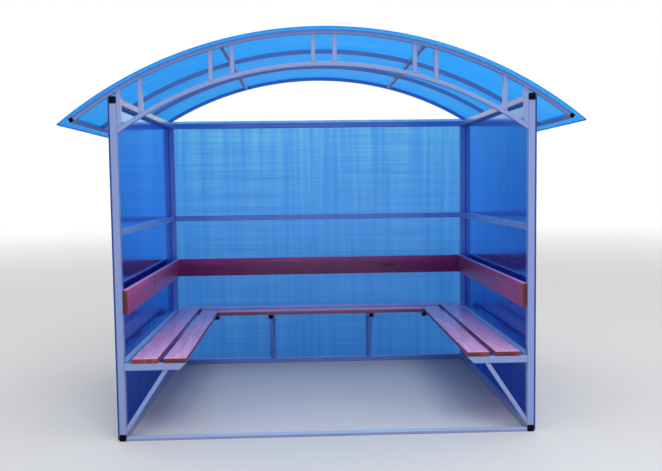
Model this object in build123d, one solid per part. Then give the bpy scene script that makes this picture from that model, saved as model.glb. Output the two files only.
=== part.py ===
from build123d import *
from math import asin, degrees, hypot, radians, sin, sqrt
import os

# Open-fronted smoking shelter: a welded frame of square steel tube, wall and roof sheets of
# twin-wall polycarbonate, a barrel roof on four bent arches, and a slatted bench on three sides.
# Millimetres, +Z up, front towards -Y, origin on the ground in the middle of the footprint.

# Main frame, square tube
frame_width = 2420.0
frame_depth = 1900.0
frame_height = 1976.0
frame_tube = 40.0
frame_wall = 2.0
frame_corner = 4.0
mid_rail_centre = 1207.0
stub_spacing = 794.0
sill_height = 20.0

# Roof frame, lighter square tube bent to arcs
roof_tube = 25.0
roof_wall = 1.5
roof_corner = 2.0
roof_radius = 2360.0
arch_count = 4
arch_seat = 0.3
eave_reach = 213.0
purlin_share = 0.382

# Front truss: a second chord under the front arch, and struts in pairs
lower_chord_radius = 2060.0
truss_opening = 154.0
strut_spacing = 122.0

# Twin-wall polycarbonate sheets
roof_sheet_thickness = 8.0
roof_overhang = 45.0
roof_lip = 70.0
sheet_bed = 0.3
wall_sheet_thickness = 8.0
wall_sheet_ground_gap = 10.0
side_sheet_drop = 12.0
back_sheet_rise = 20.0

# Bench: two planks a side on tube bearers
seat_height = 480.0
plank_thickness = 28.0
outer_plank_width = 148.0
inner_plank_width = 131.0
plank_gap = 33.0
plank_joint = 3.0
plank_edge = 3.0
side_plank_gap = 42.0
back_plank_lap = 20.0
corner_bearer_shift = 6.0
brace_foot = 60.0
brace_reach = 235.0

# Backrest boards
backrest_bottom = 738.0
backrest_width = 140.0
backrest_thickness = 28.0
backrest_setback = 20.0

# Plastic plugs in the open tube ends
plug_head = 3.0
plug_chamfer = 1.0
plug_depth = 16.0
plug_play = 0.25

# Places that follow from the sizes above
outer_x = frame_width / 2
inner_x = outer_x - frame_tube
front_y = -frame_depth / 2
back_y = frame_depth / 2
back_inner_y = back_y - frame_tube
post_x = outer_x - frame_tube / 2
front_post_y = front_y + frame_tube / 2
back_post_y = back_y - frame_tube / 2
bearer_top = seat_height - plank_thickness
bearer_bottom = bearer_top - frame_tube
side_reach = side_plank_gap + outer_plank_width + plank_gap + inner_plank_width
back_reach = outer_plank_width + plank_gap + inner_plank_width - back_plank_lap

# The arches rest on the outer corners of the top rails, which sets the height of the roof's centre
arch_outer_radius = roof_radius - roof_sheet_thickness - sheet_bed
arch_radius = arch_outer_radius - roof_tube / 2
arch_inner_radius = arch_outer_radius - roof_tube
roof_centre_z = frame_height + arch_seat - sqrt(arch_inner_radius ** 2 - outer_x ** 2)
lower_centre_z = roof_centre_z + arch_inner_radius - truss_opening - lower_chord_radius
eave_angle = degrees(asin((outer_x + eave_reach) / arch_radius))
purlin_angle = eave_angle * purlin_share
first_arch_y = front_y + roof_tube / 2
arch_pitch = (frame_depth - roof_tube) / (arch_count - 1)


def block(x0, x1, y0, y1, z0, z1):
    """A rectangular solid between two corners."""
    middle = ((x0 + x1) / 2, (y0 + y1) / 2, (z0 + z1) / 2)
    return Pos(*middle) * Box(x1 - x0, y1 - y0, z1 - z0)


def frame_section(height=frame_tube):
    """Section of the main tube: a rounded outline and a square bore."""
    bore = Rectangle(height - 2 * frame_wall, frame_tube - 2 * frame_wall)
    return RectangleRounded(height, frame_tube, frame_corner) - bore


def cut_square(size, corner):
    """A square with its corners cut off."""
    return chamfer(Rectangle(size, size).vertices(), corner)


def roof_section():
    """Section of the lighter roof tube: an outline with cut corners and a square bore."""
    bore = roof_tube - 2 * roof_wall
    return cut_square(roof_tube, roof_corner) - Rectangle(bore, bore)


def run(section, start, end, across):
    """A straight run of a section, with its own X along the direction across."""
    direction = Vector(*end) - Vector(*start)
    plane = Plane(origin=start, x_dir=across, z_dir=direction)
    return extrude(plane * section, amount=direction.length)


def post(x, y, z0, z1):
    return run(frame_section(), (x, y, z0), (x, y, z1), (1, 0, 0))


def side_rail(x, y0, y1, z):
    return run(frame_section(), (x, y0, z), (x, y1, z), (1, 0, 0))


def back_rail(z):
    return run(frame_section(), (-inner_x, back_post_y, z), (inner_x, back_post_y, z), (0, 1, 0))


def mirrored(shape):
    return mirror(shape, about=Plane.YZ)


def group(solids):
    return Compound(children=list(solids))


def roof_plane(angle, y, radius, centre_z):
    """Plane across an arc at an angle from its crown, its X pointing out along the radius."""
    out = Vector(0, 0, 1).rotate(Axis.Y, angle)
    origin = Vector(0, y, centre_z) + out * radius
    return Plane(origin=origin, x_dir=out, z_dir=out.rotate(Axis.Y, 90))


def bent(section, y, radius, centre_z, half_angle):
    """A section bent along an arc in the XZ plane, from one side of the crown to the other."""
    start = roof_plane(-half_angle, y, radius, centre_z) * section
    return revolve(start, Axis((0, 0, centre_z), (0, 1, 0)), 2 * half_angle)


def drum(radius, centre_z, y0, y1):
    """A solid cylinder along Y, used to cope tube ends to an arc."""
    plane = Plane(origin=(0, y0, centre_z), x_dir=(1, 0, 0), z_dir=(0, 1, 0))
    return extrude(plane * Circle(radius), amount=y1 - y0)


def roof_run(section, angle, y0, y1):
    """A straight run along Y at an angle round the roof, square to the arches."""
    turned = roof_plane(angle, y0, arch_radius, roof_centre_z)
    plane = Plane(origin=turned.origin, x_dir=turned.x_dir, z_dir=(0, 1, 0))
    return extrude(plane * section, amount=y1 - y0)


def arch_y(index):
    return first_arch_y + index * arch_pitch


def arch(index):
    """A bent arch, butted square against the eave tubes."""
    y = arch_y(index)
    inside_eave = degrees(roof_tube / 4 / arch_radius)
    bar = bent(roof_section(), y, arch_radius, roof_centre_z, eave_angle - inside_eave)
    eave_bar = Rectangle(roof_tube, roof_tube)
    bar -= roof_run(eave_bar, -eave_angle, y - roof_tube, y + roof_tube)
    bar -= roof_run(eave_bar, eave_angle, y - roof_tube, y + roof_tube)
    return bar


def lower_chord():
    """The inner bent chord of the front truss, cut to fit between the posts."""
    radius = lower_chord_radius - roof_tube / 2
    half_angle = degrees(asin(outer_x / (lower_chord_radius - roof_tube)))
    bar = bent(roof_section(), first_arch_y, radius, lower_centre_z, half_angle)
    clear = block(-inner_x, inner_x, front_y - roof_tube, front_y + 2 * roof_tube, 0, 2 * frame_height)
    return bar & clear


def truss_struts():
    """Upright struts in pairs, coped between the two chords."""
    half = strut_spacing / 2
    against_post = inner_x - roof_tube / 2
    under_purlin = arch_radius * sin(radians(purlin_angle))
    places = [half, under_purlin - half, under_purlin + half]
    places += [against_post - strut_spacing, against_post]
    inside = drum(arch_inner_radius, roof_centre_z, front_y, front_y + roof_tube)
    below = drum(lower_chord_radius, lower_centre_z, front_y, front_y + roof_tube)
    struts = []
    for x in places:
        bottom = lower_centre_z + sqrt(lower_chord_radius ** 2 - (x + roof_tube) ** 2) - roof_tube
        top = roof_centre_z + arch_outer_radius
        bar = run(roof_section(), (x, first_arch_y, bottom), (x, first_arch_y, top), (1, 0, 0))
        bar = (bar & inside) - below
        struts += [bar, mirrored(bar)]
    return group(struts)


def roof_purlins():
    """Short purlins between one arch and the next, on both slopes."""
    pieces = []
    for index in range(arch_count - 1):
        y0 = arch_y(index) + roof_tube / 2
        y1 = arch_y(index + 1) - roof_tube / 2
        for angle in (-purlin_angle, purlin_angle):
            pieces.append(roof_run(roof_section(), angle, y0, y1))
    return group(pieces)


def roof_sheet():
    """The bent roof sheet, lapping past the eave tubes and both end arches."""
    lip_angle = degrees(roof_lip / roof_radius)
    roof_depth = frame_depth + 2 * roof_overhang
    section = Rectangle(roof_sheet_thickness, roof_depth)
    radius = roof_radius - roof_sheet_thickness / 2
    return bent(section, 0, radius, roof_centre_z, eave_angle + lip_angle)


def bearer(reach):
    """Seat bearer on its own X from the wall frame, its end cut back at 45 degrees below."""
    middle_z = (bearer_top + bearer_bottom) / 2
    bar = run(frame_section(), (0, 0, middle_z), (reach, 0, middle_z), (0, 1, 0))
    corners = [(reach, bearer_top), (reach - frame_tube, bearer_bottom), (reach, bearer_bottom)]
    wedge = Plane.XZ * Polygon(*corners, align=None)
    return bar - extrude(wedge, amount=frame_tube, both=True)


def brace():
    """Diagonal brace from the foot of the wall frame up to the underside of a bearer."""
    rise = bearer_bottom - brace_foot
    length = hypot(brace_reach, rise)
    along = Vector(brace_reach / length, 0, rise / length)
    foot = Vector(0, 0, brace_foot) - along * frame_tube
    head = Vector(brace_reach, 0, bearer_bottom) + along * frame_tube
    bar = run(roof_section(), tuple(foot), tuple(head), (0, 1, 0))
    clear = block(0, 2 * brace_reach, -roof_tube, roof_tube, 0, bearer_bottom)
    return bar & clear


def from_left(shape, y):
    """Place a bracket piece on the left wall frame, reaching to the right."""
    return Pos(-inner_x, y, 0) * shape


def from_back(shape, x):
    """Place a bracket piece on the back wall frame, reaching to the front."""
    return Pos(x, back_inner_y, 0) * Rot(0, 0, -90) * shape


def plank(x0, x1, y0, y1, z0, z1, grain):
    """A planed board with its long edges eased by a chamfer."""
    board = block(x0, x1, y0, y1, z0, z1)
    return chamfer(board.edges().filter_by(grain), plank_edge)


def plug(size, wall, corner):
    """Square push-in plug on its own Z: a chamfered head outside, a stem in the tube."""
    head_size = size - plug_play
    head = extrude(cut_square(head_size, corner), amount=plug_head)
    head = chamfer(head.faces().sort_by(Axis.Z)[-1].edges(), plug_chamfer)
    stem_size = size - 2 * wall - plug_play
    stem = extrude(Rectangle(stem_size, stem_size), amount=-plug_depth)
    return head + stem


def tube_plugs():
    """Plugs in the front ends of the side rails and in both ends of the eave tubes."""
    frame_plug = plug(frame_tube, frame_wall, frame_corner)
    roof_plug = plug(roof_tube, roof_wall, roof_corner)
    pieces = []
    for z in (frame_tube / 2, frame_height - frame_tube / 2):
        for x in (-post_x, post_x):
            pieces.append(Plane(origin=(x, front_y, z), x_dir=(1, 0, 0), z_dir=(0, -1, 0)) * frame_plug)
    for angle in (-eave_angle, eave_angle):
        turned = roof_plane(angle, 0, arch_radius, roof_centre_z)
        for y, facing in ((front_y, -1), (back_y, 1)):
            place = Vector(turned.origin.X, y, turned.origin.Z)
            pieces.append(Plane(origin=place, x_dir=turned.x_dir, z_dir=(0, facing, 0)) * roof_plug)
    return group(pieces)


nodes = {}


def pair(name, left):
    """Write a left piece and its mirror as two nodes."""
    nodes[name + "_left"] = left
    nodes[name + "_right"] = mirrored(left)


def both(solids):
    """A left set and its mirror as one node."""
    return group(list(solids) + [mirrored(solid) for solid in solids])


# Posts stand on the bottom side rails and carry the top side rails
post_foot = frame_tube
post_head = frame_height - frame_tube
pair("front_post", post(-post_x, front_post_y, post_foot, post_head))
pair("rear_post", post(-post_x, back_post_y, post_foot, post_head))

# Side and back rails
bottom_rail_z = frame_tube / 2
top_rail_z = frame_height - frame_tube / 2
seat_rail_z = (bearer_top + bearer_bottom) / 2
side_y = back_y - frame_tube
pair("bottom_rail", side_rail(-post_x, front_y, back_y, bottom_rail_z))
pair("top_rail", side_rail(-post_x, front_y, back_y, top_rail_z))
pair("mid_rail", side_rail(-post_x, -side_y, side_y, mid_rail_centre))
pair("seat_rail", side_rail(-post_x, -side_y, side_y, seat_rail_z))
nodes["bottom_rail_back"] = back_rail(bottom_rail_z)
nodes["top_rail_back"] = back_rail(top_rail_z)
nodes["mid_rail_back"] = back_rail(mid_rail_centre)
nodes["seat_rail_back"] = back_rail(seat_rail_z)

# Flat tube laid across the entrance
sill_z = sill_height / 2
sill_start = (-inner_x, front_post_y, sill_z)
sill_end = (inner_x, front_post_y, sill_z)
nodes["front_sill"] = run(frame_section(sill_height), sill_start, sill_end, (0, 0, 1))

# Seat brackets
stub_x = stub_spacing / 2
corner_x = inner_x - side_reach + corner_bearer_shift
nodes["back_stub_posts"] = both([post(-stub_x, back_post_y, post_foot, bearer_bottom)])
nodes["seat_bearers_front"] = both([from_left(bearer(side_reach), front_post_y)])
nodes["seat_bearers_side"] = both([from_left(bearer(side_reach), 0)])
back_bearer = bearer(back_reach)
nodes["seat_bearers_back"] = both([from_back(back_bearer, -stub_x), from_back(back_bearer, -corner_x)])
nodes["seat_braces"] = both([from_left(brace(), front_post_y), from_back(brace(), -stub_x)])

# Seat planks: the side planks run from front to back and the back planks fit between them
outer_x0 = inner_x - side_plank_gap
outer_x1 = outer_x0 - outer_plank_width
inner_x0 = outer_x1 - plank_gap
inner_x1 = inner_x0 - inner_plank_width
rear_y = back_inner_y + back_plank_lap
outer_y = rear_y - outer_plank_width
inner_rear_y = outer_y - plank_gap
inner_y = inner_rear_y - inner_plank_width
seat_z = (bearer_top, seat_height)
pair("seat_plank_outer", plank(-outer_x0, -outer_x1, front_y, rear_y, *seat_z, Axis.Y))
pair("seat_plank_inner", plank(-inner_x0, -inner_x1, front_y, inner_rear_y, *seat_z, Axis.Y))
outer_end = outer_x1 - plank_joint
inner_end = inner_x1 - plank_joint
nodes["seat_plank_outer_back"] = plank(-outer_end, outer_end, outer_y, rear_y, *seat_z, Axis.X)
nodes["seat_plank_inner_back"] = plank(-inner_end, inner_end, inner_y, inner_rear_y, *seat_z, Axis.X)

# Backrest boards on the inner faces of the posts
rest_z = (backrest_bottom, backrest_bottom + backrest_width)
rest_x = inner_x - backrest_thickness
rest_front_y = front_y + backrest_setback
rest_rear_y = back_inner_y - backrest_thickness
pair("backrest", plank(-inner_x, -rest_x, rest_front_y, rest_rear_y, *rest_z, Axis.Y))
nodes["backrest_back"] = plank(-inner_x, inner_x, rest_rear_y, back_inner_y, *rest_z, Axis.X)

# Roof frame
nodes["truss_upper_chord"] = arch(0)
nodes["truss_lower_chord"] = lower_chord()
nodes["truss_struts"] = truss_struts()
nodes["roof_arch_second"] = arch(1)
nodes["roof_arch_third"] = arch(2)
nodes["roof_arch_rear"] = arch(arch_count - 1)
pair("eave_tube", roof_run(roof_section(), -eave_angle, front_y, back_y))
nodes["roof_purlins"] = roof_purlins()

# Sheets and plugs
sheet_x = outer_x + wall_sheet_thickness
nodes["roof_sheet"] = roof_sheet()
side_top = frame_height - side_sheet_drop
pair("wall_sheet", block(-sheet_x, -outer_x, front_y, back_y, wall_sheet_ground_gap, side_top))
back_top = frame_height + back_sheet_rise
back_face = back_y + wall_sheet_thickness
nodes["wall_sheet_back"] = block(-sheet_x, sheet_x, back_y, back_face, wall_sheet_ground_gap, back_top)
nodes["tube_plugs"] = tube_plugs()

os.makedirs("parts", exist_ok=True)
for name, shape in nodes.items():
    export_step(shape, f"parts/{name}.step")
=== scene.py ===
from math import asin, atan2, cos, hypot, pi, radians, sin, sqrt

import bmesh
import bpy
from mathutils import Matrix, Vector, noise


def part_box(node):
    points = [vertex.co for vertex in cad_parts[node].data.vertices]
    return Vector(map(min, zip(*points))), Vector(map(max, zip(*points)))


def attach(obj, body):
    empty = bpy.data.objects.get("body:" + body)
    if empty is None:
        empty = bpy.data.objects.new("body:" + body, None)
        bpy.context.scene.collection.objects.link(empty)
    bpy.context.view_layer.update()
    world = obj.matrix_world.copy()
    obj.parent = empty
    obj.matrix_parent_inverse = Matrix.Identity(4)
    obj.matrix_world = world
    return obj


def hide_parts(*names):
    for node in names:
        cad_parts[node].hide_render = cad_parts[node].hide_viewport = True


# Smoking shelter: painted steel tube, blue twin-wall polycarbonate, varnished boards.
# Metres, +Z up, the open front towards -Y.

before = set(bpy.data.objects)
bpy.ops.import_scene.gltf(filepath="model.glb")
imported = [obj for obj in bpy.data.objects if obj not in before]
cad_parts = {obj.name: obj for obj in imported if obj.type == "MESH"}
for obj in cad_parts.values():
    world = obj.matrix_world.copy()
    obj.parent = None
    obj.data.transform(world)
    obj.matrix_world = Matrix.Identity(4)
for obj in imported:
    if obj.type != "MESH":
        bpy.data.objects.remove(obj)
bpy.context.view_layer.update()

# The photograph's camera, solved from the edges of the posts and rails
photo_width = 662
focal_pixels = 747.27
eye = Vector((-0.128, -5.2231, 1.4587))
yaw, pitch, roll = radians(2.0861), radians(3.7987), radians(0.7364)

# Sizes that the CAD source gives, in metres
outer_x, inner_x = 1.21, 1.17
post_x, end_y = 1.19, 0.93
front_y, back_y = -0.95, 0.95
tube, light_tube = 0.040, 0.025
frame_height = 1.976
seat_rail_z, mid_rail_z = 0.432, 1.207
stub_x, corner_x = 0.397, 0.822
bearer_bottom, brace_foot, brace_reach = 0.412, 0.060, 0.235
plank_top = 0.480
sheet_thickness = 0.008
roof_radius, roof_lip = 2.360, 0.070
arch_outer_radius, arch_seat, eave_x, purlin_share = 2.3517, 0.0003, 1.423, 0.382
arch_inner_radius = arch_outer_radius - light_tube
arch_radius = arch_outer_radius - light_tube / 2
roof_centre_z = frame_height + arch_seat - sqrt(arch_inner_radius ** 2 - outer_x ** 2)
lower_radius, truss_opening, strut_spacing = 2.060, 0.154, 0.122
lower_centre_z = roof_centre_z + arch_outer_radius - light_tube - truss_opening - lower_radius
eave_angle = asin(eave_x / arch_radius)
purlin_angle = purlin_share * eave_angle
first_arch_y = front_y + light_tube / 2
arch_pitch = (1.900 - light_tube) / 3
arch_ys = [first_arch_y + index * arch_pitch for index in range(4)]
# Middle lines of the outer and the inner planks: x at the sides, y at the back
plank_lines = ((1.054, 0.856), (0.8815, 0.6835))

# Fine detail that only this script has, in metres
flute_pitch, skin_thickness, flute_depth = 0.011, 0.0007, 0.008
# A tape keeps the wall sheets off the tubes
tape = 0.0004
tube_corner, board_corner = 0.0028, 0.003
lower_chord_bite = 0.004
frame_bead, light_bead, flush = 0.0026, 0.002, 0.0002
ripple_share = 0.25
# Blender's wave texture runs through 20 radians a metre at scale 1
ring_spacing, wave_rate = 0.005, 20
# Screws: heights along the rails and up the posts, then places along a side and half the back
screw_rows = (0.022, seat_rail_z, mid_rail_z, 1.95)
post_screws = (0.022, seat_rail_z, 0.82, mid_rail_z, 1.58, 1.95)
side_screws, back_screws = (-0.56, -0.19, 0.19, 0.56), (0.195, 0.585, 0.90)
roof_screw_angle = 0.165
tiny, angle_slack = 1e-6, 1e-4

# Colours that the finishes share, as sRGB
# The third lilac is painted shade, for the back of the frame under the roof
lilac, cloudy_lilac, shaded_rear_lilac = "#788ABF", "#6E80B6", "#4E78CE"
# The second colour is a painted lilac sheen for boards' faces that look up
street_dust, painted_sheen_lilac, mirrored_blue, worn_black = "#8F8478", "#FCC4F4", "#ACD4FF", "#0C0C10"

camera_data = bpy.data.cameras.new("photo_camera")
camera = bpy.data.objects.new("photo_camera", camera_data)
bpy.context.scene.collection.objects.link(camera)
bpy.context.scene.camera = camera
camera_data.sensor_width = 36.0
camera_data.lens = focal_pixels * camera_data.sensor_width / photo_width
camera_data.clip_end = 200.0
ahead = Vector((sin(yaw) * cos(pitch), cos(yaw) * cos(pitch), -sin(pitch)))
level = Vector((cos(yaw), -sin(yaw), 0.0))
upright = level.cross(ahead)
right = level * cos(roll) - upright * sin(roll)
top = upright * cos(roll) + level * sin(roll)
turn = Matrix((right, top, -ahead)).transposed()
camera.matrix_world = Matrix.Translation(eye) @ turn.to_4x4()


def linear(code):
    """An sRGB hex colour as linear RGBA."""
    parts = [int(code[i:i + 2], 16) / 255 for i in (1, 3, 5)]
    return [p / 12.92 if p <= 0.04045 else ((p + 0.055) / 1.055) ** 2.4 for p in parts] + [1.0]


def node(tree, kind, inputs=(), **settings):
    """Adds a shader node with its settings; inputs gives each socket a value or a link. A colour
    Mix takes its share at 0 and its colours at 6 and 7, and gives the result at output 2."""
    made = tree.nodes.new("ShaderNode" + kind)
    for name, value in settings.items():
        setattr(made, name, value)
    for socket, value in dict(inputs).items():
        if isinstance(value, bpy.types.NodeSocket):
            tree.links.new(value, made.inputs[socket])
        else:
            made.inputs[socket].default_value = value
    return made


def new_material(name):
    """An empty node material, and the tree to fill."""
    material = bpy.data.materials.new(name)
    material.use_nodes = True
    material.node_tree.nodes.clear()
    return material, material.node_tree


def put_out(tree, shader):
    """Links a shader to the material's output."""
    tree.links.new(shader.outputs[0], node(tree, "OutputMaterial").inputs["Surface"])


def facing_up(tree):
    """The Z of a face's normal, and a share that is 1 where the face looks up and 0 beyond a
    slope of 60 degrees."""
    normal = node(tree, "NewGeometry").outputs["Normal"]
    facing = node(tree, "SeparateXYZ", {0: normal}).outputs["Z"]
    share = node(tree, "MapRange", {"Value": facing, "From Min": 0.5, "From Max": 0.95})
    return facing, share.outputs[0]


def enamel(name, tone, shade, top, dust):
    """Alkyd enamel sprayed on drawn steel tube: a soft gloss over fine orange peel, cloudy where
    the coat is thin, with painted shade that turns it a deeper blue at the back, under the roof.
    tone and shade are the colours of its clouds, top is a painted light colour on faces that
    look up, and dust the share of street dust at the foot."""
    material, tree = new_material(name)
    place = node(tree, "TexCoord").outputs["Object"]
    parts = node(tree, "SeparateXYZ", {0: place})
    facing, upward = facing_up(tree)
    # Clouds some 200 mm wide
    cloud = node(tree, "TexNoise", {"Vector": place, "Scale": 5.0, "Detail": 4.0})
    colour = node(tree, "Mix", {0: cloud.outputs[0], 6: linear(shade), 7: linear(tone)},
                  data_type="RGBA")
    # Painted shade: the back half metre turns a deeper blue, for the shade of the roof
    rear_shade_share = node(tree, "MapRange", {"Value": parts.outputs["Y"], "From Min": 0.4, "From Max": 0.9})
    shaded_at_back = node(tree, "Mix", {0: rear_shade_share.outputs[0], 6: colour.outputs[2], 7: linear(shaded_rear_lilac)},
                data_type="RGBA")
    # Painted light: faces that look up take the lighter top colour, for the light falling on them from
    # above
    coat = node(tree, "Mix", {0: upward, 6: shaded_at_back.outputs[2], 7: linear(top)}, data_type="RGBA")
    # Dust in patches some 45 mm wide, up to 160 mm above the ground
    low = node(tree, "MapRange", {"Value": parts.outputs["Z"], "From Min": 0.16, "From Max": 0.0,
                                  "To Max": dust})
    patch = node(tree, "TexNoise", {"Vector": place, "Scale": 22.0, "Detail": 6.0, "Roughness": 0.65})
    dirty = node(tree, "Math", {0: low.outputs[0], 1: patch.outputs[0]}, operation="MULTIPLY",
                 use_clamp=True)
    dusty = node(tree, "Mix", {0: dirty.outputs[0], 6: coat.outputs[2], 7: linear(street_dust)},
                 data_type="RGBA")
    # 1.5 mm orange peel
    peel = node(tree, "TexNoise", {"Vector": place, "Scale": 650.0, "Detail": 2.0})
    bump = node(tree, "Bump", {"Height": peel.outputs[0], "Strength": 0.12, "Distance": 0.0002})
    gloss = node(tree, "MapRange", {"Value": patch.outputs[0], "To Min": 0.28, "To Max": 0.4})
    # The gun missed the undersides, so the coat is thin and dull there
    thin_coat = node(tree, "MapRange", {"Value": facing, "From Min": -0.75, "From Max": -0.3,
                                        "To Min": 0.02, "To Max": 0.8})
    shine = node(tree, "Math", {0: thin_coat.outputs[0], 1: 0.6}, operation="MULTIPLY")
    put_out(tree, node(tree, "BsdfPrincipled", {
        "Base Color": dusty.outputs[2], "Roughness": gloss.outputs[0], "IOR": 1.5,
        "Specular IOR Level": shine.outputs[0], "Coat Weight": thin_coat.outputs[0],
        "Coat Roughness": 0.1, "Coat IOR": 1.5, "Normal": bump.outputs[0]}))
    return material


def board_finish(name, early, late, pore, bloom, film_weight):
    """Pine boards under a red-brown satin varnish: growth rings cut by the saw, open pores along
    the grain, darker knots, a film with a soft sheen, and on faces that look up a painted lilac
    sheen for the light from above. early and late are the colours of a growth ring, pore that of
    pores and knots, bloom the share of the painted sheen and film_weight the strength of the film.
    The attribute grain holds each board's own place in its log, in metres: along, across, through."""
    material, tree = new_material(name)
    grain = node(tree, "Attribute", attribute_name="grain").outputs["Vector"]
    # The pith wanders by some 15 mm in the length of a board
    slow = node(tree, "Mapping", {0: grain, "Scale": (0.9, 6.0, 6.0)})
    wander = node(tree, "TexNoise", {"Vector": slow.outputs[0], "Scale": 1.0, "Detail": 3.0})
    shift = node(tree, "VectorMath", {0: wander.outputs[1], 1: (0.0, 0.030, 0.030)},
                 operation="MULTIPLY")
    bent = node(tree, "VectorMath", {0: grain, 1: shift.outputs[0]}, operation="ADD")
    # Rings 5 mm apart round the pith, which lies along the board
    rings = node(tree, "TexWave", {
        "Vector": bent.outputs[0], "Scale": 2 * pi / ring_spacing / wave_rate, "Distortion": 0.6,
        "Detail": 2.0, "Detail Scale": 1.5}, wave_type="RINGS", rings_direction="X",
        wave_profile="SAW")
    ring_tone = node(tree, "ValToRGB", {0: rings.outputs[1]})
    ramp = ring_tone.color_ramp
    ramp.elements[0].color = linear(early)
    ramp.elements[1].color = linear(late)
    ramp.elements[0].position, ramp.elements[1].position = 0.25, 0.95
    # Dark heartwood within some 90 mm of the pith
    flat = node(tree, "VectorMath", {0: bent.outputs[0], 1: (0.0, 1.0, 1.0)}, operation="MULTIPLY")
    depth = node(tree, "VectorMath", {0: flat.outputs[0]}, operation="LENGTH").outputs["Value"]
    heartwood = node(tree, "MapRange", {"Value": depth, "From Min": 0.105, "From Max": 0.085,
                                        "To Max": 0.8})
    streaked = node(tree, "Mix", {0: heartwood.outputs[0], 6: ring_tone.outputs[0], 7: linear(late)},
                    data_type="RGBA")
    # The varnish lies thicker in streaks some 25 mm wide and 250 mm long, and wears there
    blotch = node(tree, "Mapping", {0: grain, "Scale": (4.0, 40.0, 40.0)})
    patches = node(tree, "TexNoise", {"Vector": blotch.outputs[0], "Scale": 1.0, "Detail": 4.0,
                                      "Roughness": 0.6})
    thick = node(tree, "MapRange", {"Value": patches.outputs[0], "From Min": 0.4, "From Max": 0.62,
                                    "To Max": 0.7})
    stained = node(tree, "Mix", {0: thick.outputs[0], 6: streaked.outputs[2], 7: linear(late)},
                   data_type="RGBA")
    # Pores, some 0.5 mm by 15 mm, coarser than real ones so that they show
    fine = node(tree, "Mapping", {0: grain, "Scale": (30.0, 900.0, 900.0)})
    pores = node(tree, "TexNoise", {"Vector": fine.outputs[0], "Scale": 1.0, "Detail": 3.0})
    pore_mask = node(tree, "MapRange", {"Value": pores.outputs[0], "From Min": 0.52,
                                        "From Max": 0.72, "To Max": 0.45})
    dark = node(tree, "Mix", {0: pore_mask.outputs[0], 6: stained.outputs[2], 7: linear(pore)},
                data_type="RGBA")
    # A knot every half metre or so
    knot_place = node(tree, "Mapping", {0: grain, "Scale": (1.7, 7.0, 7.0)})
    knots = node(tree, "TexVoronoi", {"Vector": knot_place.outputs[0], "Scale": 1.0})
    knot_mask = node(tree, "MapRange", {"Value": knots.outputs[0], "From Min": 0.16,
                                        "From Max": 0.09, "To Max": 0.8})
    knotty = node(tree, "Mix", {0: knot_mask.outputs[0], 6: dark.outputs[2], 7: linear(pore)},
                  data_type="RGBA")
    # The painted sheen is thinner on the hard late wood and along the pores
    painted_sheen_patches = node(tree, "MapRange", {"Value": patches.outputs[0], "From Min": 0.35, "From Max": 0.65,
                                   "To Min": bloom * 0.62, "To Max": bloom})
    hard = node(tree, "Math", {0: rings.outputs[1], 1: 0.35, 2: pore_mask.outputs[0]},
                operation="MULTIPLY_ADD")
    soft = node(tree, "Math", {0: 1.0, 1: hard.outputs[0]}, operation="SUBTRACT")
    painted_sheen_left = node(tree, "Math", {0: painted_sheen_patches.outputs[0], 1: soft.outputs[0]}, operation="MULTIPLY")
    upward = facing_up(tree)[1]
    share = node(tree, "Math", {0: upward, 1: painted_sheen_left.outputs[0]}, operation="MULTIPLY")
    with_painted_sheen = node(tree, "Mix", {0: share.outputs[0], 6: knotty.outputs[2], 7: linear(painted_sheen_lilac)},
                   data_type="RGBA")
    # The film pools in patches some 25 mm wide over the rings
    film = node(tree, "TexNoise", {"Vector": grain, "Scale": 40.0, "Detail": 2.0})
    height = node(tree, "Math", {0: rings.outputs[1], 1: film.outputs[0]}, operation="MULTIPLY")
    bump = node(tree, "Bump", {"Height": height.outputs[0], "Strength": 0.25, "Distance": 0.0004})
    gloss = node(tree, "MapRange", {"Value": film.outputs[0], "To Min": 0.36, "To Max": 0.52})
    put_out(tree, node(tree, "BsdfPrincipled", {
        "Base Color": with_painted_sheen.outputs[2], "Roughness": gloss.outputs[0], "IOR": 1.5,
        "Specular IOR Level": 0.4, "Coat Weight": film_weight, "Coat Roughness": 0.28,
        "Coat IOR": 1.5, "Normal": bump.outputs[0]}))
    return material


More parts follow.
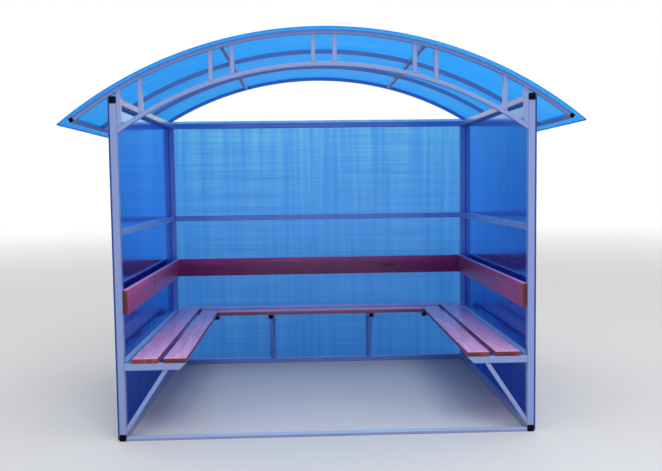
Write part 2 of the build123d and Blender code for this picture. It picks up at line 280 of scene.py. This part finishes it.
def twin_wall(name, tint, streak, deep, run_off, haze, shine):
    """Extruded twin-wall polycarbonate, tinted blue: ribs every 11 mm between two thin walls
    scatter the light, each flute is a little hollow, and painted shade deepens the colour towards
    the ground. It mirrors its surroundings at a slant, in blue, because most of that light
    turns back inside the tinted skins. The sheet is mostly air, so it bends light far less than
    the 1.585 of its skins. The UV map runs across the flutes and along them, in metres. streak is
    the colour of the marks on the tint and deep that of the painted shade low down and of the ribs,
    run_off counts the rain streaks in a metre each way, haze is the share of light that it
    scatters, and shine how strongly the stacked skins mirror."""
    material, tree = new_material(name)
    across = node(tree, "UVMap").outputs[0]
    parts = node(tree, "SeparateXYZ", {0: across})
    turn_angle = node(tree, "Math", {0: parts.outputs[0], 1: 2 * pi / flute_pitch},
                      operation="MULTIPLY")
    wave = node(tree, "Math", {0: turn_angle.outputs[0]}, operation="COSINE")
    rib = node(tree, "MapRange", {"Value": wave.outputs[0], "From Min": 0.72, "From Max": 0.97})
    # Draw marks run along the flutes, up to 17 mm wide and a metre long
    stretched = node(tree, "Mapping", {0: across, "Scale": (60.0, 0.8, 1.0)})
    marks = node(tree, "TexNoise", {"Vector": stretched.outputs[0], "Scale": 1.0, "Detail": 3.0})
    # Rain leaves streaks some 40 mm wide down the sheet
    place = node(tree, "TexCoord").outputs["Object"]
    downhill = node(tree, "Mapping", {0: place, "Scale": run_off})
    streaks = node(tree, "TexNoise", {"Vector": downhill.outputs[0], "Scale": 1.0, "Detail": 3.0})
    mixed = node(tree, "Math", {0: marks.outputs[0], 1: streaks.outputs[0]}, operation="MULTIPLY")
    share = node(tree, "MapRange", {"Value": mixed.outputs[0], "From Min": 0.15, "From Max": 0.38})
    drawn = node(tree, "Mix", {0: share.outputs[0], 6: linear(tint), 7: linear(streak)},
                 data_type="RGBA")
    thin = node(tree, "Math", {0: share.outputs[0], 1: 0.3}, operation="MULTIPLY")
    painted_shade_low = node(tree, "Mix", {0: thin.outputs[0], 6: linear(deep), 7: linear(streak)},
                  data_type="RGBA")
    # Painted shade: unshaded at the top of the frame, half shaded a sixth of the way down, shaded
    # below the middle
    height = node(tree, "SeparateXYZ", {0: place}).outputs["Z"]
    level_share = node(tree, "MapRange", {"Value": height, "From Max": frame_height})
    unshaded_share = node(tree, "Math", {0: level_share.outputs[0], 1: 4.0}, operation="POWER")
    colour = node(tree, "Mix", {0: unshaded_share.outputs[0], 6: painted_shade_low.outputs[2], 7: drawn.outputs[2]},
                  data_type="RGBA")
    edged = node(tree, "Math", {0: rib.outputs[0], 1: 0.35}, operation="MULTIPLY")
    ribbed = node(tree, "Mix", {0: edged.outputs[0], 6: colour.outputs[2], 7: linear(deep)},
                  data_type="RGBA")
    bump = node(tree, "Bump", {"Height": wave.outputs[0], "Strength": 0.35, "Distance": 0.0003})
    skin = node(tree, "BsdfPrincipled", {
        "Base Color": ribbed.outputs[2], "Roughness": 0.4, "IOR": 1.15, "Specular IOR Level": 0.2,
        "Transmission Weight": 0.96, "Normal": bump.outputs[0]})
    ribs = node(tree, "BsdfTranslucent", {"Color": ribbed.outputs[2]})
    sheet = node(tree, "MixShader", {0: haze, 1: skin.outputs[0], 2: ribs.outputs[0]})
    mirror = node(tree, "BsdfAnisotropic", {"Color": linear(mirrored_blue), "Roughness": 0.12})
    # The power keeps the mirror off sheets that are seen squarely
    slant = node(tree, "Fresnel", {"IOR": 1.585})
    steep = node(tree, "Math", {0: slant.outputs[0], 1: 1.5}, operation="POWER")
    # Splashed and rubbed dirt dulls the lower metre
    washed = node(tree, "MapRange", {"Value": height, "From Min": 0.2, "From Max": 1.1,
                                     "To Min": shine * 0.3, "To Max": shine},
                  interpolation_type="SMOOTHSTEP")
    stacked = node(tree, "Math", {0: steep.outputs[0], 1: washed.outputs[0]}, operation="MULTIPLY",
                   use_clamp=True)
    put_out(tree, node(tree, "MixShader", {
        0: stacked.outputs[0], 1: sheet.outputs[0], 2: mirror.outputs[0]}))
    return material


def sawn_sheet(name, tone, shade):
    """The cut edge of the sheet: the saw leaves the blue plastic matt and scratched, with dirt in
    the flutes."""
    material, tree = new_material(name)
    place = node(tree, "TexCoord").outputs["Object"]
    # Scratches 2.5 mm apart
    scratch = node(tree, "TexNoise", {"Vector": place, "Scale": 400.0, "Detail": 3.0})
    tint = node(tree, "Mix", {0: scratch.outputs[0], 6: linear(shade), 7: linear(tone)},
                data_type="RGBA")
    bump = node(tree, "Bump", {"Height": scratch.outputs[0], "Strength": 0.3, "Distance": 0.0004})
    gloss = node(tree, "MapRange", {"Value": scratch.outputs[0], "To Min": 0.4, "To Max": 0.6})
    put_out(tree, node(tree, "BsdfPrincipled", {
        "Base Color": tint.outputs[2], "Roughness": gloss.outputs[0], "IOR": 1.585,
        "Normal": bump.outputs[0]}))
    return material


def moulded(name, tone, roughness, grit):
    """Moulded black polyethylene or rubber: a dull satin skin with the mould's fine grain, whose
    size is grit."""
    material, tree = new_material(name)
    place = node(tree, "TexCoord").outputs["Object"]
    grain = node(tree, "TexNoise", {"Vector": place, "Scale": 1 / grit, "Detail": 3.0})
    tint = node(tree, "Mix", {0: grain.outputs[0], 6: linear(tone), 7: linear(worn_black)},
                data_type="RGBA")
    bump = node(tree, "Bump", {"Height": grain.outputs[0], "Strength": 0.3, "Distance": grit / 4})
    gloss = node(tree, "MapRange", {"Value": grain.outputs[0], "To Min": roughness - 0.08,
                                    "To Max": roughness + 0.08})
    put_out(tree, node(tree, "BsdfPrincipled", {
        "Base Color": tint.outputs[2], "Roughness": gloss.outputs[0], "IOR": 1.51,
        "Specular IOR Level": 0.05, "Normal": bump.outputs[0]}))
    return material


def plated(name, dull, bright):
    """Bright zinc plate on steel fasteners: a grey metal with a faint blotchy passivated bloom."""
    material, tree = new_material(name)
    place = node(tree, "TexCoord").outputs["Object"]
    # Blotches some 3 mm wide
    bloom = node(tree, "TexNoise", {"Vector": place, "Scale": 300.0, "Detail": 3.0})
    tint = node(tree, "Mix", {0: bloom.outputs[0], 6: linear(dull), 7: linear(bright)},
                data_type="RGBA")
    gloss = node(tree, "MapRange", {"Value": bloom.outputs[0], "To Min": 0.35, "To Max": 0.55})
    put_out(tree, node(tree, "BsdfPrincipled", {
        "Base Color": tint.outputs[2], "Metallic": 1.0, "Roughness": gloss.outputs[0]}))
    return material


# The top colours are painted light on faces that look up, lighter still on the seat rails and the sill
lilac_enamel = enamel("lilac_enamel_on_tube", lilac, cloudy_lilac, "#98AEE4", 0.35)
rail_enamel = enamel("enamel_with_painted_light_on_seat_rails", lilac, cloudy_lilac, "#C0E2FF", 0.35)
sill_enamel = enamel("enamel_with_painted_light_on_sill", lilac, cloudy_lilac, "#B8D2F8", 0.35)
weld_enamel = enamel("lilac_enamel_on_welds", "#7080B6", "#6272AA", "#7080B6", 0.45)
# The fifth value of each board finish is its share of painted sheen on faces that look up
varnished_pine = board_finish("varnished_pine", "#A43C64", "#742A46", "#48142A", 1.05, 0.7)
# Painted light: the side backrests are painted lighter and pinker than the planks, for the light and
# reflection they catch from the open front
lit_side_pine = board_finish("varnished_pine_with_painted_light", "#EC68A4", "#9A3C6C", "#5A1C36", 0.9, 0.5)
# Painted shade: the back backrest is painted darker and bluer, for the shade under the roof
shaded_pine = board_finish("shaded_varnished_pine", "#BA388E", "#5E164C", "#340C28", 0.9, 0.2)
end_grain = board_finish("sawn_end_grain", "#A04A34", "#4C181C", "#2C0E12", 0.0, 0.0)
# The fourth colour of each sheet is painted shade low down, and is also mixed into the rib lines
roof_polycarbonate = twin_wall("twin_wall_polycarbonate_roof", "#60BCF4", "#70C6F4", "#54B6F2",
                               run_off=(0.8, 25.0, 0.8), haze=0.72, shine=0.1)
back_polycarbonate = twin_wall("twin_wall_polycarbonate_back", "#58B6FF", "#8ADCFF", "#4A9EF2",
                               run_off=(25.0, 25.0, 0.8), haze=0.25, shine=4.0)
side_polycarbonate = twin_wall("twin_wall_polycarbonate_side", "#68CCFF", "#78D4FF", "#3862E6",
                               run_off=(25.0, 25.0, 0.8), haze=0.5, shine=4.8)
sawn_edge = sawn_sheet("sawn_polycarbonate_edge", "#4A7CD6", "#2E56B4")
black_polyethylene = moulded("moulded_black_polyethylene", "#050507", 0.5, 0.0008)
seal_rubber = moulded("rubber_sealing_washer", "#18181A", 0.7, 0.0005)
zinc_plate = plated("zinc_plated_steel", "#D0D2D8", "#F0F0F4")


def finish_piece(mesh, name, material, replaced=(), smooth=0.0):
    """Turns a bmesh into a shown piece that rides on the frame."""
    data = bpy.data.meshes.new(name)
    mesh.to_mesh(data)
    mesh.free()
    piece = bpy.data.objects.new(name, data)
    bpy.context.scene.collection.objects.link(piece)
    data.materials.append(material)
    if smooth:
        data.shade_smooth()
        data.set_sharp_from_angle(angle=smooth)
    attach(piece, "root")
    if replaced:
        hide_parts(*replaced)
    return piece


def on_roof(side, angle, y, radius):
    """A point on the roof's curve, with the angle counted from its crown towards one side."""
    return (side * radius * sin(angle), y, roof_centre_z + radius * cos(angle))


def bend(mesh, centre_z, half_angle, steps):
    """Draws the outline in a mesh along the roof's curve, from one end to the other."""
    centre = Vector((0.0, 0.0, centre_z))
    bmesh.ops.rotate(mesh, verts=mesh.verts, cent=centre, matrix=Matrix.Rotation(-half_angle, 3, "Y"))
    bmesh.ops.spin(mesh, geom=mesh.verts[:] + mesh.edges[:] + mesh.faces[:], cent=centre,
                   axis=(0.0, 1.0, 0.0), angle=2 * half_angle, steps=steps, use_merge=False)
    bmesh.ops.remove_doubles(mesh, verts=mesh.verts, dist=tiny)
    bmesh.ops.recalc_face_normals(mesh, faces=mesh.faces)


def bent_bar(name, node_name, y, radius, centre_z, half_angle, steps=96):
    """A square tube bent along the roof's curve, with the rounded corners of drawn tube."""
    mesh = bmesh.new()
    bmesh.ops.create_grid(mesh, x_segments=1, y_segments=1, size=light_tube / 2)
    bmesh.ops.bevel(mesh, geom=mesh.verts[:], offset=tube_corner, affect="VERTICES", segments=4,
                    profile=0.5, material=-1)
    bmesh.ops.rotate(mesh, verts=mesh.verts, matrix=Matrix.Rotation(radians(90), 3, "Y"))
    bmesh.ops.translate(mesh, verts=mesh.verts, vec=(0.0, y, centre_z + radius))
    bend(mesh, centre_z, half_angle, steps)
    finish_piece(mesh, name, lilac_enamel, [node_name], radians(35))


# The arches end against the eave tubes
arch_end = eave_angle - (light_tube / 2) / arch_radius
for (name, node_name), arch_y in zip((
        ("upper_chord", "truss_upper_chord"), ("second_arch", "roof_arch_second"),
        ("third_arch", "roof_arch_third"), ("rear_arch", "roof_arch_rear")), arch_ys):
    bent_bar(name, node_name, arch_y, arch_radius, roof_centre_z, arch_end)
lower_mid = lower_radius - light_tube / 2
bent_bar("lower_chord", "truss_lower_chord", first_arch_y, lower_mid, lower_centre_z,
         asin((inner_x + lower_chord_bite) / lower_mid), steps=80)


def block(low, high):
    """A box between two corners."""
    mesh = bmesh.new()
    bmesh.ops.create_cube(mesh, size=1.0)
    bmesh.ops.scale(mesh, verts=mesh.verts, vec=high - low)
    bmesh.ops.translate(mesh, verts=mesh.verts, vec=(high + low) / 2)
    return mesh


def flute_map(mesh, across, along):
    """UV map of a sheet, in metres across its flutes and along them."""
    layer = mesh.loops.layers.uv.new("flutes")
    for face in mesh.faces:
        for loop in face.loops:
            loop[layer].uv = (across(loop.vert.co), along(loop.vert.co))


def open_flutes(mesh, cells):
    """Hollows the cut end of each flute between its two skins and ribs."""
    bmesh.ops.inset_individual(mesh, faces=cells, thickness=skin_thickness)
    bmesh.ops.inset_individual(mesh, faces=cells, depth=-flute_depth)


def flat_sheet(name, node_name, material, axis):
    """A flat twin-wall sheet with its flutes level, along the axis given. Its inner face stands
    back by the thickness of the tape on the tubes."""
    low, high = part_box(node_name)
    through = 1 - axis
    if low[through] > 0:
        low[through] += tape
    else:
        high[through] -= tape
    mesh = block(low, high)
    height = high.z - low.z
    crossing = [e for e in mesh.edges if abs(e.verts[0].co.z - e.verts[1].co.z) > height / 2]
    bmesh.ops.subdivide_edges(mesh, edges=crossing, cuts=round(height / flute_pitch) - 1,
                              use_grid_fill=True)
    mesh.faces.ensure_lookup_table()
    open_flutes(mesh, [f for f in mesh.faces if abs(f.normal[axis]) > 0.9])
    flute_map(mesh, lambda co: co.z, lambda co: co[axis])
    for face in mesh.faces:
        face.material_index = int(abs(face.normal[through]) < 0.9)
    piece = finish_piece(mesh, name, material, [node_name])
    piece.data.materials.append(sawn_edge)


flat_sheet("back_wall_sheet", "wall_sheet_back", back_polycarbonate, 0)
flat_sheet("left_wall_sheet", "wall_sheet_left", side_polycarbonate, 1)
flat_sheet("right_wall_sheet", "wall_sheet_right", side_polycarbonate, 1)


def eave_faces(mesh, half_angle):
    """The faces of the roof sheet that lie in its two cut ends."""
    return [f for f in mesh.faces if all(
        abs(atan2(v.co.x, v.co.z - roof_centre_z)) > half_angle - angle_slack for v in f.verts)]


def curved_sheet():
    """The barrel roof sheet, its flutes bent round the arches."""
    low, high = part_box("roof_sheet")
    half_angle = eave_angle + roof_lip / roof_radius
    middle = high.z - roof_centre_z - sheet_thickness / 2
    mesh = bmesh.new()
    bmesh.ops.create_grid(mesh, x_segments=1, y_segments=1, size=0.5)
    bmesh.ops.scale(mesh, verts=mesh.verts, vec=(sheet_thickness, high.y - low.y, 1.0))
    bmesh.ops.rotate(mesh, verts=mesh.verts, matrix=Matrix.Rotation(radians(90), 3, "Y"))
    bmesh.ops.translate(mesh, verts=mesh.verts, vec=(0.0, 0.0, roof_centre_z + middle))
    bend(mesh, roof_centre_z, half_angle, 160)
    crossing = [e for f in eave_faces(mesh, half_angle) for e in f.edges
                if abs(e.verts[0].co.y - e.verts[1].co.y) > sheet_thickness]
    bmesh.ops.subdivide_edges(mesh, edges=crossing, cuts=round((high.y - low.y) / flute_pitch) - 1,
                              use_grid_fill=True)
    open_flutes(mesh, eave_faces(mesh, half_angle))
    flute_map(mesh, lambda co: co.y, lambda co: atan2(co.x, co.z - roof_centre_z) * roof_radius)
    finish_piece(mesh, "barrel_roof_sheet", roof_polycarbonate,
                 ["roof_sheet"], radians(30))


curved_sheet()


def board(name, node_name, along, finish, log):
    """A planed board with eased edges. log is where its corner lies in the log it was sawn from."""
    low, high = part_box(node_name)
    mesh = block(low, high)
    bmesh.ops.bevel(mesh, geom=mesh.edges[:], offset=board_corner, affect="EDGES", segments=3,
                    profile=0.5, material=-1)
    sizes = [high[i] - low[i] for i in range(3)]
    others = sorted((i for i in range(3) if i != along), key=lambda i: -sizes[i])
    layer = mesh.verts.layers.float_vector.new("grain")
    for vert in mesh.verts:
        place = vert.co - low
        vert[layer] = Vector((place[along], place[others[0]], place[others[1]])) + Vector(log)
    for face in mesh.faces:
        face.material_index = int(abs(face.normal[along]) > 0.9)
    piece = finish_piece(mesh, name, finish, [node_name], radians(30))
    piece.data.materials.append(end_grain)


for name, node_name, along, finish, log in (
        ("outer_plank_left", "seat_plank_outer_left", 1, varnished_pine, (0.3, 0.06, 0.095)),
        ("inner_plank_left", "seat_plank_inner_left", 1, varnished_pine, (3.1, -0.08, 0.030)),
        ("outer_plank_right", "seat_plank_outer_right", 1, varnished_pine, (6.4, -0.06, 0.025)),
        ("inner_plank_right", "seat_plank_inner_right", 1, varnished_pine, (9.2, -0.02, 0.035)),
        ("outer_plank_back", "seat_plank_outer_back", 0, varnished_pine, (12.7, -0.11, 0.035)),
        ("inner_plank_back", "seat_plank_inner_back", 0, varnished_pine, (16.0, -0.04, 0.050)),
        ("backrest_board_left", "backrest_left", 1, lit_side_pine, (19.5, -0.06, 0.028)),
        ("backrest_board_right", "backrest_right", 1, lit_side_pine, (23.3, -0.09, 0.040)),
        ("backrest_board_back", "backrest_back", 0, shaded_pine, (27.1, -0.05, 0.055))):
    board(name, node_name, along, finish, log)


def join(mesh, piece):
    """Adds one bmesh to another."""
    data = bpy.data.meshes.new("joined")
    piece.to_mesh(data)
    piece.free()
    mesh.from_mesh(data)
    bpy.data.meshes.remove(data)


def aimed(point, direction):
    """A placement at a point, with Z along a direction."""
    return Matrix.Translation(point) @ Vector(direction).to_track_quat("Z", "Y").to_matrix().to_4x4()


def lathe(mesh, outline, steps, place):
    """Spins an outline of (radius, height) points about Z and sets it in place."""
    piece = bmesh.new()
    points = [piece.verts.new((radius, 0.0, height)) for radius, height in outline]
    edges = [piece.edges.new(ends) for ends in zip(points, points[1:])]
    bmesh.ops.spin(piece, geom=points + edges, cent=(0.0, 0.0, 0.0), axis=(0.0, 0.0, 1.0),
                   angle=2 * pi, steps=steps, use_merge=True)
    bmesh.ops.remove_doubles(piece, verts=piece.verts, dist=tiny)
    bmesh.ops.recalc_face_normals(piece, faces=piece.faces)
    piece.transform(place)
    join(mesh, piece)


def weld_ring(mesh, centre, axis, half_across, half_up, bead=frame_bead):
    """A rippled bead of weld round a square tube that runs along axis."""
    piece = bmesh.new()
    bmesh.ops.create_circle(piece, radius=bead, segments=6)
    bmesh.ops.rotate(piece, verts=piece.verts, matrix=Matrix.Rotation(radians(90), 3, "X"))
    bmesh.ops.translate(piece, verts=piece.verts, vec=(1.0, 0.0, 0.0))
    bmesh.ops.spin(piece, geom=piece.verts[:] + piece.edges[:], cent=(0.0, 0.0, 0.0),
                   axis=(0.0, 0.0, 1.0), angle=2 * pi, steps=48, use_merge=True)
    # From a round ring to a square one, with ripples that differ from ring to ring
    for vert in piece.verts:
        angle = atan2(vert.co.y, vert.co.x)
        out = Vector((cos(angle), sin(angle), 0.0))
        proud = hypot(vert.co.x, vert.co.y) - 1.0
        reach = min(half_across / max(abs(out.x), tiny), half_up / max(abs(out.y), tiny))
        ripple = 1.0 + ripple_share * noise.noise(
            Vector((angle * 7.0, centre[0] * 31.0, centre[2] * 17.0)))
        vert.co = out * (reach + proud * ripple) + Vector((0.0, 0.0, vert.co.z * ripple))
    bmesh.ops.recalc_face_normals(piece, faces=piece.faces)
    direction = Vector(axis).normalized()
    side = Vector((1.0, 0.0, 0.0)) if abs(direction.x) < 0.7 else Vector((0.0, 1.0, 0.0))
    side = (side - direction * side.dot(direction)).normalized()
    turn = Matrix((side, direction.cross(side), direction)).transposed()
    piece.transform(Matrix.Translation(centre) @ turn.to_4x4())
    # Ground flush where a sheet lies against the frame, and at the ground
    for vert in piece.verts:
        if abs(centre[0]) < outer_x and vert.co.z < frame_height:
            vert.co.x = max(-outer_x + flush, min(outer_x - flush, vert.co.x))
        vert.co.y = min(back_y - flush, vert.co.y)
        vert.co.z = max(flush, vert.co.z)
    join(mesh, piece)


half, thin = tube / 2, light_tube / 2
# A brace meets its neighbours at a slant, so its outline there is longer
brace_rise = bearer_bottom - brace_foot
brace_length = hypot(brace_reach, brace_rise)
foot_half = thin * brace_length / brace_reach
head_half = thin * brace_length / brace_rise
# Struts stand in pairs at the crown, under the purlins and against the posts
under_purlin = arch_radius * sin(purlin_angle)
against_post = inner_x - thin
strut_xs = (strut_spacing / 2, under_purlin - strut_spacing / 2, under_purlin + strut_spacing / 2,
            against_post - strut_spacing, against_post)
welds = bmesh.new()
for side in (-1, 1):
    # Posts and rails
    for y in (-end_y, end_y):
        for z in (tube, frame_height - tube):
            weld_ring(welds, (side * post_x, y, z), (0, 0, 1), half, half)
        inner_end = y - half if y > 0 else y + half
        for z in (seat_rail_z, mid_rail_z):
            weld_ring(welds, (side * post_x, inner_end, z), (0, 1, 0), half, half)
    for z in (half, seat_rail_z, mid_rail_z, frame_height - half):
        weld_ring(welds, (side * inner_x, end_y, z), (1, 0, 0), half, half)
    weld_ring(welds, (side * inner_x, -end_y, half / 2), (1, 0, 0), half, half / 2)
    # Seat bearers and stub posts
    for y in (-end_y, 0.0):
        weld_ring(welds, (side * inner_x, y, seat_rail_z), (1, 0, 0), half, half)
    for x in (stub_x, corner_x):
        weld_ring(welds, (side * x, end_y - half, seat_rail_z), (0, 1, 0), half, half)
    for z in (tube, bearer_bottom):
        weld_ring(welds, (side * stub_x, end_y, z), (0, 0, 1), half, half)
    # Braces
    weld_ring(welds, (side * inner_x, -end_y, brace_foot), (1, 0, 0), thin, foot_half, light_bead)
    weld_ring(welds, (side * (inner_x - brace_reach), -end_y, bearer_bottom), (0, 0, 1),
              head_half, thin, light_bead)
    weld_ring(welds, (side * stub_x, end_y - half, brace_foot), (0, 1, 0), thin, foot_half, light_bead)
    weld_ring(welds, (side * stub_x, end_y - half - brace_reach, bearer_bottom), (0, 0, 1),
              thin, head_half, light_bead)
    # Truss struts between the chords
    for x in strut_xs:
        for radius, centre_z in ((arch_inner_radius, roof_centre_z), (lower_radius, lower_centre_z)):
            rise = sqrt(radius ** 2 - x ** 2)
            weld_ring(welds, (side * x, first_arch_y, centre_z + rise), (side * x, 0, rise),
                      thin * radius / rise, thin, light_bead)
    # Arches on the eave tubes, and purlins between the arches
    for y in arch_ys:
        weld_ring(welds, on_roof(side, arch_end, y, arch_radius),
                  (side * cos(arch_end), 0, -sin(arch_end)), thin, thin, light_bead)
    for near_y, far_y in zip(arch_ys, arch_ys[1:]):
        for y in (near_y + thin, far_y - thin):
            weld_ring(welds, on_roof(side, purlin_angle, y, arch_radius), (0, 1, 0), thin, thin,
                      light_bead)
finish_piece(welds, "weld_beads", weld_enamel, smooth=radians(60))

# Round carriage bolt heads on the planks, over the bearers
bolt_head = [(0.0, 0.0056), (0.0028, 0.0053), (0.0054, 0.0044), (0.0077, 0.0029), (0.0092, 0.0010),
             (0.0095, 0.0002), (0.0095, -0.0008), (0.0, -0.0008)]
bolts = bmesh.new()
for side in (-1, 1):
    for side_x, rear_y in plank_lines:
        for x, y in ((side_x, -end_y), (side_x, 0.0), (stub_x, rear_y), (side_x, rear_y)):
            lathe(bolts, bolt_head, 20, aimed((side * x, y, plank_top), (0, 0, 1)))
finish_piece(bolts, "plank_bolts", zinc_plate, smooth=radians(40))

# Hexagon-head screws with sealing washers through the sheets
screw_head = [(0.0, 0.0062), (0.0036, 0.0062), (0.0044, 0.0056), (0.0044, 0.0016), (0.0, 0.0016)]
screw_collar = [(0.0, 0.0024), (0.0046, 0.0024), (0.0062, 0.0016), (0.0062, 0.0008), (0.0, 0.0008)]
screw_seal = [(0.0, 0.0014), (0.0072, 0.0014), (0.0080, 0.0008), (0.0080, -0.0004), (0.0, -0.0004)]
places = []
for side in (-1, 1):
    side_face, back_face = side * (outer_x + sheet_thickness), back_y + sheet_thickness
    for z in post_screws:
        places += [((side_face, y, z), (side, 0, 0)) for y in (-end_y, end_y)]
        places.append(((side * post_x, back_face, z), (0, 1, 0)))
    for z in screw_rows:
        places += [((side_face, y, z), (side, 0, 0)) for y in side_screws]
        places += [((side * x, back_face, z), (0, 1, 0)) for x in back_screws]
    for y in arch_ys:
        for step in (0.5, 1.5, 2.5, 3.5):
            angle = step * roof_screw_angle
            places.append((on_roof(side, angle, y, roof_radius), (side * sin(angle), 0, cos(angle))))
screws, seals = bmesh.new(), bmesh.new()
for point, direction in places:
    lathe(screws, screw_head, 6, aimed(point, direction))
    lathe(screws, screw_collar, 14, aimed(point, direction))
    lathe(seals, screw_seal, 14, aimed(point, direction))
finish_piece(screws, "sheet_screws", zinc_plate, smooth=radians(30))
finish_piece(seals, "sheet_screw_seals", seal_rubber, smooth=radians(30))

# CAD nodes whose shape is right keep it and get their finish
cad_finishes = {"tube_plugs": black_polyethylene, "front_sill": sill_enamel,
                "seat_rail_left": rail_enamel, "seat_rail_right": rail_enamel}
for node_name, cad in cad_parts.items():
    if not cad.hide_render:
        cad.data.materials.clear()
        cad.data.materials.append(cad_finishes.get(node_name, lilac_enamel))


def seen_rays(tree):
    """1 for light that the eye sees straight, in a mirror or through a sheet, and 0 for light that
    only falls on things."""
    path = node(tree, "LightPath")
    mirrored = node(tree, "Math", {0: path.outputs["Is Camera Ray"], 1: path.outputs["Is Glossy Ray"]},
                    operation="MAXIMUM")
    seen = node(tree, "Math", {0: mirrored.outputs[0], 1: path.outputs["Is Transmission Ray"]},
                operation="MAXIMUM")
    return seen.outputs[0]


# Stage: pale floor that runs out to white, and an even studio sky
floor_material, tree = new_material("studio_floor")
place = node(tree, "TexCoord").outputs["Object"]
distance = node(tree, "VectorMath", {0: place}, operation="LENGTH").outputs["Value"]
far = node(tree, "MapRange", {"Value": distance, "From Min": 5.0, "From Max": 24.0},
           interpolation_type="SMOOTHSTEP")
grit = node(tree, "TexNoise", {"Vector": place, "Scale": 30.0, "Detail": 3.0})
tone = node(tree, "Mix", {0: grit.outputs[0], 6: linear("#CCCCCC"), 7: linear("#D2D2D2")},
            data_type="RGBA")
matt = node(tree, "BsdfPrincipled", {"Base Color": tone.outputs[2], "Roughness": 0.8})
glow = node(tree, "Emission", {"Color": (1.0, 1.0, 1.0, 1.0), "Strength": 1.0})
glow_share = node(tree, "Math", {0: far.outputs[0], 1: seen_rays(tree)}, operation="MULTIPLY")
put_out(tree, node(tree, "MixShader", {
    0: glow_share.outputs[0], 1: matt.outputs[0], 2: glow.outputs[0]}))
mesh = bmesh.new()
bmesh.ops.create_circle(mesh, cap_ends=True, radius=60.0, segments=96)
floor_data = bpy.data.meshes.new("studio_floor")
mesh.to_mesh(floor_data)
mesh.free()
floor = bpy.data.objects.new("studio_floor", floor_data)
floor_data.materials.append(floor_material)
bpy.context.scene.collection.objects.link(floor)

world = bpy.data.worlds.new("studio_sky")
bpy.context.scene.world = world
world.use_nodes = True
tree = world.node_tree
tree.nodes.clear()
direction = node(tree, "SeparateXYZ", {0: node(tree, "TexCoord").outputs["Generated"]})
softbox = node(tree, "MapRange", {"Value": direction.outputs["Z"], "To Min": 0.88, "To Max": 1.02})
strength = node(tree, "Mix", {0: seen_rays(tree), 2: softbox.outputs[0], 3: 1.0})
sky = node(tree, "Background", {"Color": (1.0, 1.0, 1.0, 1.0), "Strength": strength.outputs[0]})
tree.links.new(sky.outputs[0], node(tree, "OutputWorld").inputs["Surface"])


def soft_lamp(name, place, size, power):
    """A large square lamp aimed at the middle of the shelter."""
    data = bpy.data.lights.new(name, "AREA")
    data.shape = "SQUARE"
    data.size = size
    data.energy = power
    lamp = bpy.data.objects.new(name, data)
    lamp.visible_glossy = False
    lamp.location = place
    lamp.rotation_euler = (Vector((0.0, 0.0, 1.0)) - Vector(place)).to_track_quat("-Z", "Y").to_euler()
    bpy.context.scene.collection.objects.link(lamp)


soft_lamp("front_lamp", (1.0, -6.0, 6.6), 4.0, 250.0)
soft_lamp("side_lamp", (5.0, -4.0, 3.4), 3.0, 30.0)

bpy.context.scene.view_settings.view_transform = "Standard"
